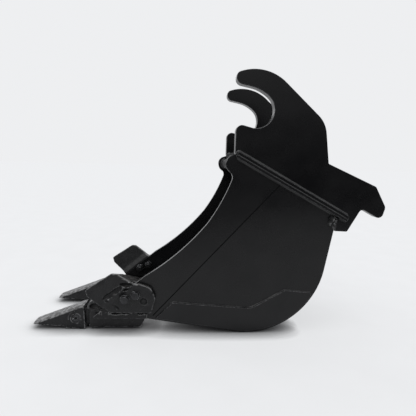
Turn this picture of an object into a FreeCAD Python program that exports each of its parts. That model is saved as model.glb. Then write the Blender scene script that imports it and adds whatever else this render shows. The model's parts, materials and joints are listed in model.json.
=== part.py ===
"""Trenching bucket for an excavator, with hooks for a quick coupler.

+Z is up and the bucket rests on its heel and on the feet of its two teeth.
The teeth point along -X, the coupler hooks stand on top, and Y is the width.
"Left" is the -Y side. Every outline is drawn in the XZ plane.
"""
import FreeCAD
import Part
import os
from math import cos, sin, tan, radians, sqrt
from FreeCAD import Vector

# ---- driving dimensions, mm ----
WIDTH = 450.0                # over the two side plates
SIDE_T = 20.0
TAPER_DEG = 3.0              # the sides bend in behind the fold line
FOLD_LOW = (-226.0, 65.0)
FOLD_HIGH = (264.0, 601.0)

HEEL_R = 323.0               # outer line of the heel
HEEL_X = 165.0
BELLY_DEG = 9.5              # slope of the belly towards the lip
BACK_DEG = 9.35              # lean of the back wall
STRIP_T = 10.0
SHELL_T = 12.0

LIP_FRONT, LIP_REAR = -455.0, -242.0
LIP_Z, LIP_T = 61.0, 25.0

TOP_DEG = 28.5               # slope of the plates under the hooks
TOP_X, TOP_Z = 295.0, 644.0  # a point on the hook base plate's upper face
BASE_T, TOP_T = 14.0, 10.0
DECK_T = BASE_T + TOP_T      # hook base plate and top plate together
PLATE_FRONT, PLATE_REAR = -210.0, 304.0     # along the slope from that point
PLATE_OVERHANG = 12.0
BASE_STEP = 3.0              # the base plate ends this far inside the top plate
TUBE_X, TUBE_R, TUBE_WALL = 102.0, 24.0, 8.0
BULGE_R = 38.0

HOOK_T = 45.0
HOOK_INSET = 4.0             # hook face behind the side plate face
SEAT_X, SEAT_Z, SEAT_R = 175.0, 905.0, 70.0

TOOTH_Y = 151.0
TOOTH_W = 84.0
SHOULDER_X = -481.0          # front face of the adapter
PIN_X, PIN_Z, PIN_R = -535.0, 46.0, 11.0
PIN_PLAY = 0.3
NOSE_PLAY = 1.5

CUTTER_T = 22.0
BOLT_R, BOLT_PLAY = 10.0, 0.5
BOLTS = [(-326.0, 150.0), (-284.0, 168.0)]
HEX_AF, HEAD_H, NUT_H = 30.0, 12.5, 16.0
THREAD_OUT = 5.0             # bolt end past its nut
WASHER_R, WASHER_T = 18.5, 3.0

FAR = 2000.0                 # beyond every surface of the bucket
HALF = WIDTH / 2
INNER = HALF - SIDE_T
SLOPE = tan(radians(TOP_DEG))


# ---- drawing helpers ----
def at(x, z, y=0.0):
    return Vector(x, y, z)


def corner_points(before, corner, after, r):
    """Start, middle and end of the arc that rounds one corner."""
    a = (before - corner).normalize()
    b = (after - corner).normalize()
    half = a.getAngle(b) / 2
    run = r / tan(half)
    axis = (a + b).normalize()
    middle = corner + axis * (r / sin(half) - r)
    return corner + a * run, middle, corner + b * run


def outline(items):
    """Closed wire in XZ. (x, z) is a corner, (x, z, r) a rounded corner,
    and ((x, z), (x, z)) an arc from the last point through one to the other."""
    ends = []
    for item in items:
        last = item[-1] if isinstance(item[0], tuple) else item
        ends.append(at(last[0], last[1]))
    edges = []
    start = None
    here = None
    for i, item in enumerate(items):
        point = ends[i]
        if isinstance(item[0], tuple):
            middle = at(*item[0])
            edges.append(Part.Arc(here, middle, point).toShape())
            here = point
            continue
        first, leave = point, point
        if len(item) == 3:
            after = ends[(i + 1) % len(items)]
            first, middle, leave = corner_points(ends[i - 1], point, after, item[2])
        if here is not None and (first - here).Length > 1e-6:
            edges.append(Part.makeLine(here, first))
        if len(item) == 3:
            edges.append(Part.Arc(first, middle, leave).toShape())
        here = leave
        if start is None:
            start = first
    if (here - start).Length > 1e-6:
        edges.append(Part.makeLine(here, start))
    return Part.Wire(edges)


def plate(items, y0, y1):
    """The outline as a plate from y0 to y1."""
    face = Part.Face(outline(items))
    solid = face.extrude(Vector(0, y1 - y0, 0))
    solid.translate(Vector(0, y0, 0))
    return solid


def rod(x, z, r, y0, y1):
    return Part.makeCylinder(r, y1 - y0, at(x, z, y0), Vector(0, 1, 0))


def hexagon(x, z, across, y0, y1):
    r = across / sqrt(3)
    points = [(x + r * cos(radians(60 * i)), z + r * sin(radians(60 * i))) for i in range(6)]
    return plate(points, y0, y1)


def mirrored(shape):
    return shape.mirror(Vector(0, 0, 0), Vector(0, 1, 0))


def moved(shape, dy):
    copy = shape.copy()
    copy.translate(Vector(0, dy, 0))
    return copy


# ---- lines that several pieces share ----
def top_line(x, depth=0.0):
    """Height of the hook base plate's upper face, or of a face below it."""
    return TOP_Z - (x - TOP_X) * SLOPE - depth / cos(radians(TOP_DEG))


def on_slope(s, t):
    """Point at s along the sloping plates and t above the base plate's face."""
    c, d = cos(radians(TOP_DEG)), sin(radians(TOP_DEG))
    return (TOP_X + s * c + t * d, TOP_Z - s * d + t * c)


def heel(angle, inset=0.0):
    r = HEEL_R - inset
    return (HEEL_X + r * cos(radians(angle)), HEEL_R + r * sin(radians(angle)))


BELLY_ANGLE = -90 - BELLY_DEG
BACK_ANGLE = -BACK_DEG
HEEL_MIDDLE = (BELLY_ANGLE + BACK_ANGLE) / 2
TUBE_Z = top_line(TUBE_X, DECK_T + TUBE_R)


def belly(x, inset=0.0):
    """Point of the belly line at x, inset towards the inside."""
    x0, z0 = heel(BELLY_ANGLE, inset)
    return (x, z0 + (x0 - x) * tan(radians(BELLY_DEG)))


def back(z, inset=0.0):
    """Point of the back wall line at height z."""
    x0, z0 = heel(BACK_ANGLE, inset)
    return (x0 + (z - z0) * tan(radians(BACK_DEG)), z)


def back_under_plates(inset=0.0, depth=DECK_T):
    """Where the back wall line meets the underside of the top plate."""
    x0, z0 = heel(BACK_ANGLE, inset)
    lean = tan(radians(BACK_DEG))
    z = (top_line(x0, depth) + SLOPE * lean * z0) / (1 + SLOPE * lean)
    return back(z, inset)


def clear_of_plates(shape):
    """What is left of a shape in front of the sloping plates and below them."""
    above = [on_slope(PLATE_FRONT, -DECK_T), on_slope(FAR, -DECK_T),
             on_slope(FAR, FAR), on_slope(PLATE_FRONT, FAR)]
    return shape.cut(plate(above, -FAR, FAR))


# ---- the tapered sides ----
def fold_in(shape):
    """Bend a left-hand shape inwards about the fold line in the outer face."""
    axis = at(*FOLD_HIGH) - at(*FOLD_LOW)
    bent = shape.copy()
    bent.rotate(at(FOLD_LOW[0], FOLD_LOW[1], -HALF), axis, TAPER_DEG)
    return bent


def behind_fold(y0, y1):
    """Big block that covers everything behind the fold line."""
    ax = at(*FOLD_LOW)
    run = (at(*FOLD_HIGH) - ax).normalize()
    out = Vector(run.z, 0, -run.x)
    low, high = ax - run * FAR, ax + run * FAR
    corners = [low, high, high + out * FAR, low + out * FAR]
    return plate([(p.x, p.z) for p in corners], y0, y1)


def folded(items, y0, y1):
    """Left-hand plate with its rear part bent inwards."""
    flat = plate(items, y0, y1)
    cutter = behind_fold(y0 - 1, y1 + 1)
    return flat.cut(cutter).fuse(fold_in(flat.common(cutter))).removeSplitter()


def hollow_between_sides():
    """The space between the inner faces of both side plates."""
    big = [(-FAR, -FAR), (FAR, -FAR), (FAR, FAR), (-FAR, FAR)]
    left = folded(big, -INNER, INNER / 2)
    return left.fuse(mirrored(left))


# ---- bucket body ----
WEAR_FRONT = -205.0          # front end of the heel strips and of the side wear plates
SIDE_WEAR_T = 8.0
STRIP_W, STRIP_PITCH, STRIP_END_DEG = 60.0, 125.0, -38.0
LIP_TOP = LIP_Z + LIP_T
LIP_NOSE = (LIP_FRONT, LIP_Z + 8)
LIP_SHOULDER = (LIP_FRONT + 22, LIP_TOP)
SIDE_FOOT = (-433.0, LIP_TOP)
SIDE_CHIN = (-250.0, 238.0)
SIDE_FRONT = (-118.0, 337.0)
SIDE_BEND = (-5.0, 456.0)
SIDE_THROAT = (51.5, 549.0)
SIDE_NECK = (88.5, 632.7)
NOSE_HOLLOW = (92.5, 650.0, 28.0)    # rounded corner between the front edge and the nose
NOSE_TOUCH_DEG = 225.0               # where that corner's line runs into the nose
TRIM = 3.0                   # cut off the side plate's top edge after bending


def side_plate():
    nose_touch = radians(NOSE_TOUCH_DEG)
    items = [
        SIDE_FOOT,
        SIDE_CHIN,
        (SIDE_FRONT, SIDE_BEND),
        (SIDE_THROAT, SIDE_NECK),
        NOSE_HOLLOW,
        (TUBE_X + BULGE_R * cos(nose_touch), TUBE_Z + BULGE_R * sin(nose_touch)),
        (TUBE_X, TUBE_Z),
        (TUBE_X, top_line(TUBE_X, DECK_T - TRIM)),
        back_under_plates(0.0, DECK_T - TRIM),
        heel(BACK_ANGLE),
        (heel(HEEL_MIDDLE), heel(BELLY_ANGLE)),
        belly(LIP_REAR),
        (LIP_REAR, LIP_TOP),
    ]
    bulge = rod(TUBE_X, TUBE_Z, BULGE_R, -HALF, -INNER)
    solid = clear_of_plates(folded(items, -HALF, -INNER).fuse(bulge)).removeSplitter()
    for x, z in BOLTS:
        solid = solid.cut(rod(x, z, BOLT_R + BOLT_PLAY, -HALF - 1, -INNER + 1))
    return solid


def belt(outer, inner, front_x, end_angle):
    """Section that follows belly and heel between two insets."""
    return [
        belly(front_x, outer),
        heel(BELLY_ANGLE, outer),
        (heel((BELLY_ANGLE + end_angle) / 2, outer), heel(end_angle, outer)),
        heel(end_angle, inner),
        (heel((BELLY_ANGLE + end_angle) / 2, inner), heel(BELLY_ANGLE, inner)),
        belly(front_x, inner),
    ]


def shell_plate():
    outer, inner = STRIP_T, STRIP_T + SHELL_T
    items = [
        belly(LIP_REAR, outer),
        heel(BELLY_ANGLE, outer),
        (heel(HEEL_MIDDLE, outer), heel(BACK_ANGLE, outer)),
        back_under_plates(outer),
        back_under_plates(inner),
        heel(BACK_ANGLE, inner),
        (heel(HEEL_MIDDLE, inner), heel(BELLY_ANGLE, inner)),
        belly(LIP_REAR, inner),
    ]
    return plate(items, -HALF, HALF).common(hollow_between_sides())


def heel_strip(y):
    return plate(belt(0.0, STRIP_T, WEAR_FRONT, STRIP_END_DEG), y - STRIP_W / 2, y + STRIP_W / 2)


def lip_plate():
    bevelled = [LIP_NOSE, LIP_SHOULDER, (LIP_REAR, LIP_TOP), (LIP_REAR, LIP_Z), (LIP_FRONT, LIP_Z)]
    return plate(bevelled, -HALF, HALF)


def sloping_plate(t_low, t_high, half_width):
    corners = [on_slope(PLATE_FRONT, t_low), on_slope(PLATE_REAR, t_low),
               on_slope(PLATE_REAR, t_high), on_slope(PLATE_FRONT, t_high)]
    return plate(corners, -half_width, half_width)


def front_tube():
    tube = rod(TUBE_X, TUBE_Z, TUBE_R, -INNER, INNER)
    return tube.cut(rod(TUBE_X, TUBE_Z, TUBE_R - TUBE_WALL, -INNER, INNER))


def side_wear_plate():
    inset = 9.0
    items = [
        belly(WEAR_FRONT, inset),
        (-173.0, 98.0),
        (-137.0, 132.0),
        (185.0, 106.0, 60.0),
        (323.0, 184.0),
        (432.0, 173.0),
        heel(-31.0, inset),
        (heel(-60.0, inset), heel(BELLY_ANGLE, inset)),
    ]
    return fold_in(plate(items, -HALF - SIDE_WEAR_T, -HALF))


# ---- hooks ----
SEAT_LOW_DEG, SEAT_HIGH_DEG = -103.0, 50.0
LEG_X = 97.0                 # front of the hook's leg
LEG_DROP = 8.0               # the leg reaches this far down the front end of the plates
FINGER_X = 93.0              # front of the finger over the seat
FINGER_TOP = ((167.0, 1057.5), (288.0, 1010.0))


def seat(angle):
    return (SEAT_X + SEAT_R * cos(radians(angle)), SEAT_Z + SEAT_R * sin(radians(angle)))


def hook_plate():
    items = [
        on_slope(PLATE_FRONT, 0.0),
        on_slope(PLATE_FRONT, -LEG_DROP),
        (LEG_X, on_slope(PLATE_FRONT, -LEG_DROP)[1]),
        (LEG_X, 853.0, 24.0),
        seat(SEAT_LOW_DEG),
        (seat(0), seat(SEAT_HIGH_DEG)),
        (189.2, 984.5, 150.0),
        (FINGER_X, 1003.7, 26.0),
        (FINGER_X, 1042.8, 22.0),
        (112.5, 1049.0),
        FINGER_TOP,
        (449.0, 864.0, 110.0),
        (470.0, 706.0, 6.0),
        (669.0, 619.0, 14.0),
        (713.6, 537.0, 22.0),
        (699.5, 484.0, 20.0),
        (615.0, 529.5, 16.0),
        (562.0, 434.5, 8.0),
        back(436.0),
        back_under_plates(),
        on_slope(PLATE_REAR, -DECK_T),
        on_slope(PLATE_REAR, 0.0),
    ]
    outer = -HALF + HOOK_INSET
    return plate(items, outer, outer + HOOK_T)


# ---- teeth, drawn about Y = 0 with the outer side at -Y ----
CHEEK = TOOTH_W / 2
NOSE_END_X = -605.0
NOSE_ROOT = (13.0, 90.0)     # heights of the nose's lower and upper face at its root
NOSE_END = (24.0, 44.0)
NOSE_ROOT_HALF, NOSE_END_HALF = 29.0, 22.0
RETAINER_R, RETAINER_Y, RETAINER_T = 16.0, 14.0, 8.0
PIN_HEAD_R, PIN_HEAD_PLAY = 17.0, 0.5
LUG_PLAY = 0.4
TIP_CHAMFER = 7.0
LIP_OF_LOCK = (-CHEEK + 6.0, -CHEEK + 9.0)       # wall lip that the pin's lug locks behind
SQUARE_DRIVE = 12.7


def nose(gap):
    """Wedge of the adapter inside the tip, or its pocket when gap is not zero."""
    back_x, end_x = SHOULDER_X + 1, NOSE_END_X - gap * 4
    side = plate([
        (back_x, NOSE_ROOT[0] - gap),
        (end_x, NOSE_END[0] - gap),
        (end_x, NOSE_END[1] + gap),
        (back_x, NOSE_ROOT[1] + gap),
    ], -CHEEK, CHEEK)
    back_half, end_half = NOSE_ROOT_HALF + gap, NOSE_END_HALF + gap
    corners = [(back_x, -back_half), (end_x, -end_half), (end_x, end_half), (back_x, back_half)]
    plan = [Vector(x, y, 0) for x, y in corners + corners[:1]]
    return side.common(Part.Face(Part.makePolygon(plan)).extrude(Vector(0, 0, FAR)))


def adapter():
    items = [
        (SHOULDER_X, 9.0, 6.0),
        (SHOULDER_X, 122.0, 10.0),
        (-420.0, 122.0, 20.0),
        (-300.0, 100.0, 10.0),
        (-284.0, LIP_TOP),
        LIP_SHOULDER,
        LIP_NOSE,
        (LIP_FRONT, LIP_Z),
        (-247.0, LIP_Z),
        (-268.0, 12.0, 8.0),
    ]
    body = plate(items, -CHEEK, CHEEK).fuse(nose(0.0)).removeSplitter()
    bore = rod(PIN_X, PIN_Z, PIN_R + PIN_PLAY, -CHEEK, CHEEK)
    pocket = rod(PIN_X, PIN_Z, RETAINER_R, RETAINER_Y, CHEEK)
    return body.cut(bore).cut(pocket)


def tooth_tip():
    items = [
        (-712.0, 19.0),
        (-712.0, 24.0),
        (-512.0, 101.0, 8.0),
        (-502.0, 101.0),
        (-497.0, 0.0, 5.0),
        (-578.0, 5.0, 5.0),
        (-592.0, 15.0, 4.0),
        (-606.0, 13.0),
    ]
    body = plate(items, -CHEEK, CHEEK)
    ridges = [e for e in body.Edges if e.BoundBox.YLength < 1 and e.BoundBox.XLength > 150
              and e.CenterOfMass.z > 30]
    body = body.makeChamfer(TIP_CHAMFER, ridges).cut(nose(NOSE_PLAY))
    head_room = rod(PIN_X, PIN_Z, PIN_HEAD_R + PIN_HEAD_PLAY, -CHEEK, LIP_OF_LOCK[0])
    hole = rod(PIN_X, PIN_Z, PIN_R + PIN_PLAY, -CHEEK, CHEEK)
    lug_room = rod(PIN_X, PIN_Z, PIN_HEAD_R, LIP_OF_LOCK[1], 0)
    keyway = Part.makeBox(11, 19, 16.5, at(PIN_X - 5.5, PIN_Z, -CHEEK))
    return body.cut(head_room).cut(hole).cut(lug_room).cut(keyway)


def lock_pin():
    shaft = rod(PIN_X, PIN_Z, PIN_R, -CHEEK + 1.5, CHEEK - 2)
    head = rod(PIN_X, PIN_Z, PIN_HEAD_R, -CHEEK + 1, LIP_OF_LOCK[0] - LUG_PLAY)
    lug = Part.makeBox(15.5, 4.5, 10, at(PIN_X - 15.5, PIN_Z - 5, LIP_OF_LOCK[1] + LUG_PLAY))
    corner = at(PIN_X - SQUARE_DRIVE / 2, PIN_Z - SQUARE_DRIVE / 2, -CHEEK)
    socket = Part.makeBox(SQUARE_DRIVE, 11, SQUARE_DRIVE, corner)
    pointer = Part.makeBox(7, 2, 3, at(PIN_X - 16, PIN_Z - 1.5, -CHEEK))
    return shaft.fuse(head).fuse(lug).cut(socket).cut(pointer).removeSplitter()


def pin_retainer():
    ends = (RETAINER_Y, RETAINER_Y + RETAINER_T)
    return rod(PIN_X, PIN_Z, RETAINER_R, *ends).cut(rod(PIN_X, PIN_Z, PIN_R + PIN_PLAY, *ends))


# ---- side cutter, left hand ----
CUTTER_LOW = (-405.0, 110.0)         # the blade flares out along the line between these
CUTTER_HIGH = (-287.0, 209.0)
CUTTER_REACH = 90.0                  # the bar runs on past both points, then the outline cuts it
RECESS_X, RECESS_Z, RECESS_R, RECESS_DEEP = -252.0, 140.0, 14.0, 7.0


def cutter_section():
    """Bent bar along the flare line: base, ramp and blade with a thin edge."""
    start = at(CUTTER_LOW[0], CUTTER_LOW[1], -HALF)
    run = (at(*CUTTER_HIGH) - at(*CUTTER_LOW)).normalize()
    up = Vector(-run.z, 0, run.x)
    outer = [(-170.0, CUTTER_T), (-2.0, CUTTER_T), (22.0, 34.0), (84.0, 40.0), (108.0, 37.0)]
    inner = [(108.0, 29.0), (26.0, 14.0), (4.0, 0.0), (-170.0, 0.0)]
    points = [start - run * CUTTER_REACH + up * g + Vector(0, -y, 0) for g, y in outer + inner]
    length = (at(*CUTTER_HIGH) - at(*CUTTER_LOW)).Length + 2 * CUTTER_REACH
    return Part.Face(Part.makePolygon(points + points[:1])).extrude(run * length)


def side_cutter():
    shape = plate([
        (-470.0, 166.0, 12.0),
        (-478.0, 190.0, 8.0),
        (-376.0, 259.0, 8.0),
        (-355.0, 257.0, 8.0),
        CUTTER_HIGH,
        (-268.0, 213.0, 10.0),
        (-224.0, 197.0, 22.0),
        (-204.0, 156.0, 20.0),
        (-220.0, 92.0, 10.0),
        (-385.0, 92.0, 10.0),
    ], -HALF - 60, -HALF)
    solid = shape.common(cutter_section())
    for x, z in BOLTS:
        solid = solid.cut(rod(x, z, BOLT_R + BOLT_PLAY, -HALF - CUTTER_T - 1, -HALF + 1))
    face = -HALF - CUTTER_T
    return solid.cut(rod(RECESS_X, RECESS_Z, RECESS_R, face - 1, face + RECESS_DEEP))


def cutter_bolt(x, z):
    face = -HALF - CUTTER_T - WASHER_T
    head = hexagon(x, z, HEX_AF, face - HEAD_H, face)
    end = -INNER + WASHER_T + NUT_H + THREAD_OUT
    return head.fuse(rod(x, z, BOLT_R, face - 1, end)).removeSplitter()


def washers(x, z):
    outer = rod(x, z, WASHER_R, -HALF - CUTTER_T - WASHER_T, -HALF - CUTTER_T)
    inner = rod(x, z, WASHER_R, -INNER, -INNER + WASHER_T)
    hole = rod(x, z, BOLT_R + BOLT_PLAY, -HALF - 60, -INNER + 60)
    return [outer.cut(hole), inner.cut(hole)]


def nut(x, z):
    body = hexagon(x, z, HEX_AF, -INNER + WASHER_T, -INNER + WASHER_T + NUT_H)
    return body.cut(rod(x, z, BOLT_R, -INNER, -INNER + 60))


# ---- assembly ----
def build():
    nodes = {}

    def pair(name, left):
        nodes[name + "_left"] = left
        nodes[name + "_right"] = mirrored(left)

    pair("side_plate", side_plate())
    nodes["shell_plate"] = shell_plate()
    nodes["lip_plate"] = lip_plate()
    for label, y in (("left", -STRIP_PITCH), ("middle", 0.0), ("right", STRIP_PITCH)):
        nodes["heel_strip_" + label] = heel_strip(y)
    deck_half = HALF + PLATE_OVERHANG
    nodes["top_plate"] = sloping_plate(-DECK_T, -BASE_T, deck_half)
    nodes["hook_base_plate"] = sloping_plate(-BASE_T, 0.0, deck_half - BASE_STEP)
    nodes["front_cross_tube"] = front_tube()
    pair("side_wear_plate", side_wear_plate())
    pair("hook_plate", hook_plate())
    pair("tooth_adapter", moved(adapter(), -TOOTH_Y))
    pair("tooth_tip", moved(tooth_tip(), -TOOTH_Y))
    pair("lock_pin", moved(lock_pin(), -TOOTH_Y))
    pair("pin_retainer", moved(pin_retainer(), -TOOTH_Y))
    pair("side_cutter", side_cutter())
    pair("cutter_bolts", Part.makeCompound([cutter_bolt(x, z) for x, z in BOLTS]))
    pair("cutter_washers", Part.makeCompound([w for x, z in BOLTS for w in washers(x, z)]))
    pair("cutter_nuts", Part.makeCompound([nut(x, z) for x, z in BOLTS]))
    return nodes


os.makedirs("parts", exist_ok=True)
for node, shape in build().items():
    shape.exportStep("parts/" + node + ".step")
    box = shape.BoundBox
    print(node, len(shape.Solids), shape.isValid(), "%.0f cm3" % (shape.Volume / 1000),
          "x %.1f %.1f" % (box.XMin, box.XMax), "y %.1f %.1f" % (box.YMin, box.YMax),
          "z %.1f %.1f" % (box.ZMin, box.ZMax))
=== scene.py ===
"""Looks of the trenching bucket: bevelled plate, weld beads, cast teeth, black paint, floor and light.

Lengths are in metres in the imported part's frame: the teeth point along -X, Y is the width,
+Z is up, and "left" is the -Y side, as in the node names.
"""
import json
import math

import bmesh
import bpy
from mathutils import Matrix, Vector, noise
from mathutils.bvhtree import BVHTree


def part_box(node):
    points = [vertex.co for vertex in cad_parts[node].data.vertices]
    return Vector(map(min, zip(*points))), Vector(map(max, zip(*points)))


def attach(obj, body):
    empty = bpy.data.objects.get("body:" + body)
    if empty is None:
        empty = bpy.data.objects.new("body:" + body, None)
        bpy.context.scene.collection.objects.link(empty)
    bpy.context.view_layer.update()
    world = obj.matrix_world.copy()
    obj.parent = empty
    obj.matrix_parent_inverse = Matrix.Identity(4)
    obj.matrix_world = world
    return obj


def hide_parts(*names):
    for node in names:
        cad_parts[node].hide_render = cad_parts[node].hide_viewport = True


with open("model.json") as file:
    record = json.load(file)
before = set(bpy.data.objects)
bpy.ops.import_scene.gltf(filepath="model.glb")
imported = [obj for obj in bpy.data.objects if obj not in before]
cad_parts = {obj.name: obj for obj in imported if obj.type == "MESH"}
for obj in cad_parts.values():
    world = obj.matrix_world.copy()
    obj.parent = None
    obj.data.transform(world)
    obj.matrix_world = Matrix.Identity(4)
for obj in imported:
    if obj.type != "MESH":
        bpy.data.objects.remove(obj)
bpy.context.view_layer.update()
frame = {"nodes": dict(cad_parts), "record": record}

MM = 0.001
X, Y, Z = Vector((1, 0, 0)), Vector((0, 1, 0)), Vector((0, 0, 1))
SIDES = (("left", -1), ("right", 1))


# ---- camera, floor and light ----
CAMERA_AT = Vector((-0.06735, -1.700, 0.6987))
CAMERA_TURN = math.radians(2.29)      # to the right of +Y
CAMERA_DIP = math.radians(6.96)
CAMERA_ROLL = math.radians(1.5)
CAMERA_LENS, SENSOR = 32.625, 36.0


def add_camera():
    data = bpy.data.cameras.new("camera")
    data.lens = CAMERA_LENS
    data.sensor_width = SENSOR
    data.dof.use_dof = False
    camera = bpy.data.objects.new("camera", data)
    bpy.context.scene.collection.objects.link(camera)
    turn = Matrix.Rotation(-CAMERA_TURN, 4, "Z") @ Matrix.Rotation(math.radians(90) - CAMERA_DIP, 4, "X")
    roll = Matrix.Rotation(-CAMERA_ROLL, 4, "Y")
    camera.matrix_world = Matrix.Translation(CAMERA_AT) @ roll @ turn
    bpy.context.scene.camera = camera


PALE = (0.855, 0.863, 0.877, 1)
# How bright the room is by the way one looks: axis, the ramp's two ends, and the brightness at each.
ROOM = (
    ("Y", -0.35, 0.55, 0.0, 0.62),      # behind the bucket
    ("Z", 0.12, 0.85, 0.015, 1.0),      # overhead
    ("X", 0.2, -0.9, 0.0, 0.25),        # in front of the teeth
    ("Z", 0.03, 0.20, 0.0, 0.75),       # from just above the floor
)


def add_world():
    """Pale backdrop; the room is bright behind the bucket and overhead, and dark on the near side."""
    world = bpy.data.worlds.new("studio")
    world.use_nodes = True
    bpy.context.scene.world = world
    tree = world.node_tree
    tree.nodes.clear()
    way = tree.nodes.new("ShaderNodeTexCoord")
    split = tree.nodes.new("ShaderNodeSeparateXYZ")
    tree.links.new(way.outputs["Generated"], split.inputs[0])

    def ramp(axis, low, high, to_low, to_high):
        node = tree.nodes.new("ShaderNodeMapRange")
        node.interpolation_type = "SMOOTHSTEP"
        node.inputs["From Min"].default_value = low
        node.inputs["From Max"].default_value = high
        node.inputs["To Min"].default_value = to_low
        node.inputs["To Max"].default_value = to_high
        tree.links.new(split.outputs[axis], node.inputs["Value"])
        return node.outputs[0]

    def add(a, b):
        node = tree.nodes.new("ShaderNodeMath")
        node.operation = "ADD"
        tree.links.new(a, node.inputs[0])
        tree.links.new(b, node.inputs[1])
        return node.outputs[0]

    brightness = ramp(*ROOM[0])
    for row in ROOM[1:]:
        brightness = add(brightness, ramp(*row))
    room = tree.nodes.new("ShaderNodeBackground")
    room.inputs["Color"].default_value = PALE
    tree.links.new(brightness, room.inputs["Strength"])
    seen = tree.nodes.new("ShaderNodeBackground")
    seen.inputs["Color"].default_value = PALE
    path = tree.nodes.new("ShaderNodeLightPath")
    mix = tree.nodes.new("ShaderNodeMixShader")
    tree.links.new(path.outputs["Is Camera Ray"], mix.inputs[0])
    tree.links.new(room.outputs[0], mix.inputs[1])
    tree.links.new(seen.outputs[0], mix.inputs[2])
    out = tree.nodes.new("ShaderNodeOutputWorld")
    tree.links.new(mix.outputs[0], out.inputs["Surface"])


def add_sun(name, strength, angle, travel):
    """A soft sun whose light travels along the given way."""
    data = bpy.data.lights.new(name, "SUN")
    data.energy = strength
    data.angle = math.radians(angle)
    lamp = bpy.data.objects.new(name, data)
    bpy.context.scene.collection.objects.link(lamp)
    lamp.rotation_mode = "QUATERNION"
    lamp.rotation_quaternion = Vector(travel).to_track_quat("-Z", "Y")


FLOOR_NEAR, FLOOR_FAR = -2.6, 60.0      # the floor ends a little behind the camera
FLOOR_SINK = 0.2 * MM                   # below the bucket's lowest point
FLOOR_SHADES = ((0.125, 0.1263, 0.1285), (0.117, 0.1183, 0.1203))
FLOOR_GLOW = 0.745                      # keeps the shadows on it light
SHADOW_REACH = 0.08                     # the glow fades where something stands closer than this
SHADOW_POWER = 2.5                      # how steeply it fades


def add_floor():
    mesh = bpy.data.meshes.new("floor")
    corners = [(-FLOOR_FAR, FLOOR_NEAR, 0), (FLOOR_FAR, FLOOR_NEAR, 0),
               (FLOOR_FAR, FLOOR_FAR, 0), (-FLOOR_FAR, FLOOR_FAR, 0)]
    mesh.from_pydata(corners, [], [(0, 1, 2, 3)])
    floor = bpy.data.objects.new("floor", mesh)
    floor.location.z = -FLOOR_SINK
    bpy.context.scene.collection.objects.link(floor)
    paint = Paper("floor_paint")
    paint.speckle(*FLOOR_SHADES, 6)
    paint.shader.inputs["Roughness"].default_value = 0.9
    paint.shader.inputs["Specular IOR Level"].default_value = 0.0
    near = paint.tree.nodes.new("ShaderNodeAmbientOcclusion")
    near.samples = 8
    near.inputs["Distance"].default_value = SHADOW_REACH
    paint.shader.inputs["Emission Color"].default_value = PALE
    glow = paint.math("MULTIPLY", paint.math("POWER", near.outputs["AO"], SHADOW_POWER), FLOOR_GLOW)
    paint.link(glow, paint.shader.inputs["Emission Strength"])
    mesh.materials.append(paint.material)


# ---- materials ----
class Paper:
    """A node material that is put together layer by layer, in object coordinates in metres."""

    def __init__(self, name):
        self.material = bpy.data.materials.new(name)
        self.material.use_nodes = True
        self.tree = self.material.node_tree
        self.shader = self.tree.nodes["Principled BSDF"]
        self.place = self.tree.nodes.new("ShaderNodeTexCoord").outputs["Object"]
        self.colour = None
        self.normal = None

    def link(self, a, b):
        self.tree.links.new(a, b)

    def noise(self, scale, detail=4.0, stretch=None):
        node = self.tree.nodes.new("ShaderNodeTexNoise")
        node.inputs["Scale"].default_value = scale
        node.inputs["Detail"].default_value = detail
        place = self.place
        if stretch:
            mapping = self.tree.nodes.new("ShaderNodeMapping")
            mapping.inputs["Scale"].default_value = stretch
            self.link(place, mapping.inputs[0])
            place = mapping.outputs[0]
        self.link(place, node.inputs["Vector"])
        return node.outputs["Fac"]

    def band(self, value, low, high, to_low=0.0, to_high=1.0):
        node = self.tree.nodes.new("ShaderNodeMapRange")
        node.inputs["From Min"].default_value = low
        node.inputs["From Max"].default_value = high
        node.inputs["To Min"].default_value = to_low
        node.inputs["To Max"].default_value = to_high
        self.link(value, node.inputs["Value"])
        return node.outputs[0]

    def math(self, kind, a, b):
        node = self.tree.nodes.new("ShaderNodeMath")
        node.operation = kind
        for socket, value in zip(node.inputs, (a, b)):
            if isinstance(value, (int, float)):
                socket.default_value = value
            else:
                self.link(value, socket)
        return node.outputs[0]

    def mix(self, factor, a, b):
        node = self.tree.nodes.new("ShaderNodeMix")
        node.data_type = "RGBA"
        self.link(factor, node.inputs["Factor"])
        for socket, value in ((node.inputs[6], a), (node.inputs[7], b)):
            if isinstance(value, tuple):
                socket.default_value = (*value, 1)
            else:
                self.link(value, socket)
        return node.outputs[2]

    def finish_colour(self, colour):
        self.colour = colour
        self.link(colour, self.shader.inputs["Base Color"])

    def speckle(self, a, b, scale):
        self.finish_colour(self.mix(self.band(self.noise(scale), 0.35, 0.65), a, b))

    def layer(self, factor, colour):
        """Another colour over what is there, where the factor says."""
        self.finish_colour(self.mix(factor, self.colour, colour))

    def rough(self, value, low, high):
        self.link(self.band(value, 0.3, 0.7, low, high), self.shader.inputs["Roughness"])

    def bump(self, height, distance, strength=1.0):
        node = self.tree.nodes.new("ShaderNodeBump")
        node.inputs["Strength"].default_value = strength
        node.inputs["Distance"].default_value = distance
        self.link(height, node.inputs["Height"])
        if self.normal:
            self.link(self.normal, node.inputs["Normal"])
        self.normal = node.outputs["Normal"]
        self.link(self.normal, self.shader.inputs["Normal"])

    def facing_up(self):
        """How far the surface faces up, from 0 to 1."""
        geometry = self.tree.nodes.new("ShaderNodeNewGeometry")
        split = self.tree.nodes.new("ShaderNodeSeparateXYZ")
        self.link(geometry.outputs["Normal"], split.inputs[0])
        return self.band(split.outputs["Z"], 0.3, 1.0)

    def marked(self, name):
        """A mask that the mesh carries as an attribute."""
        node = self.tree.nodes.new("ShaderNodeAttribute")
        node.attribute_name = name
        return node.outputs["Fac"]

    def worn(self):
        """The bevelled strips of a mesh, as its edge_wear attribute marks them."""
        return self.marked("edge_wear")


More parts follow.
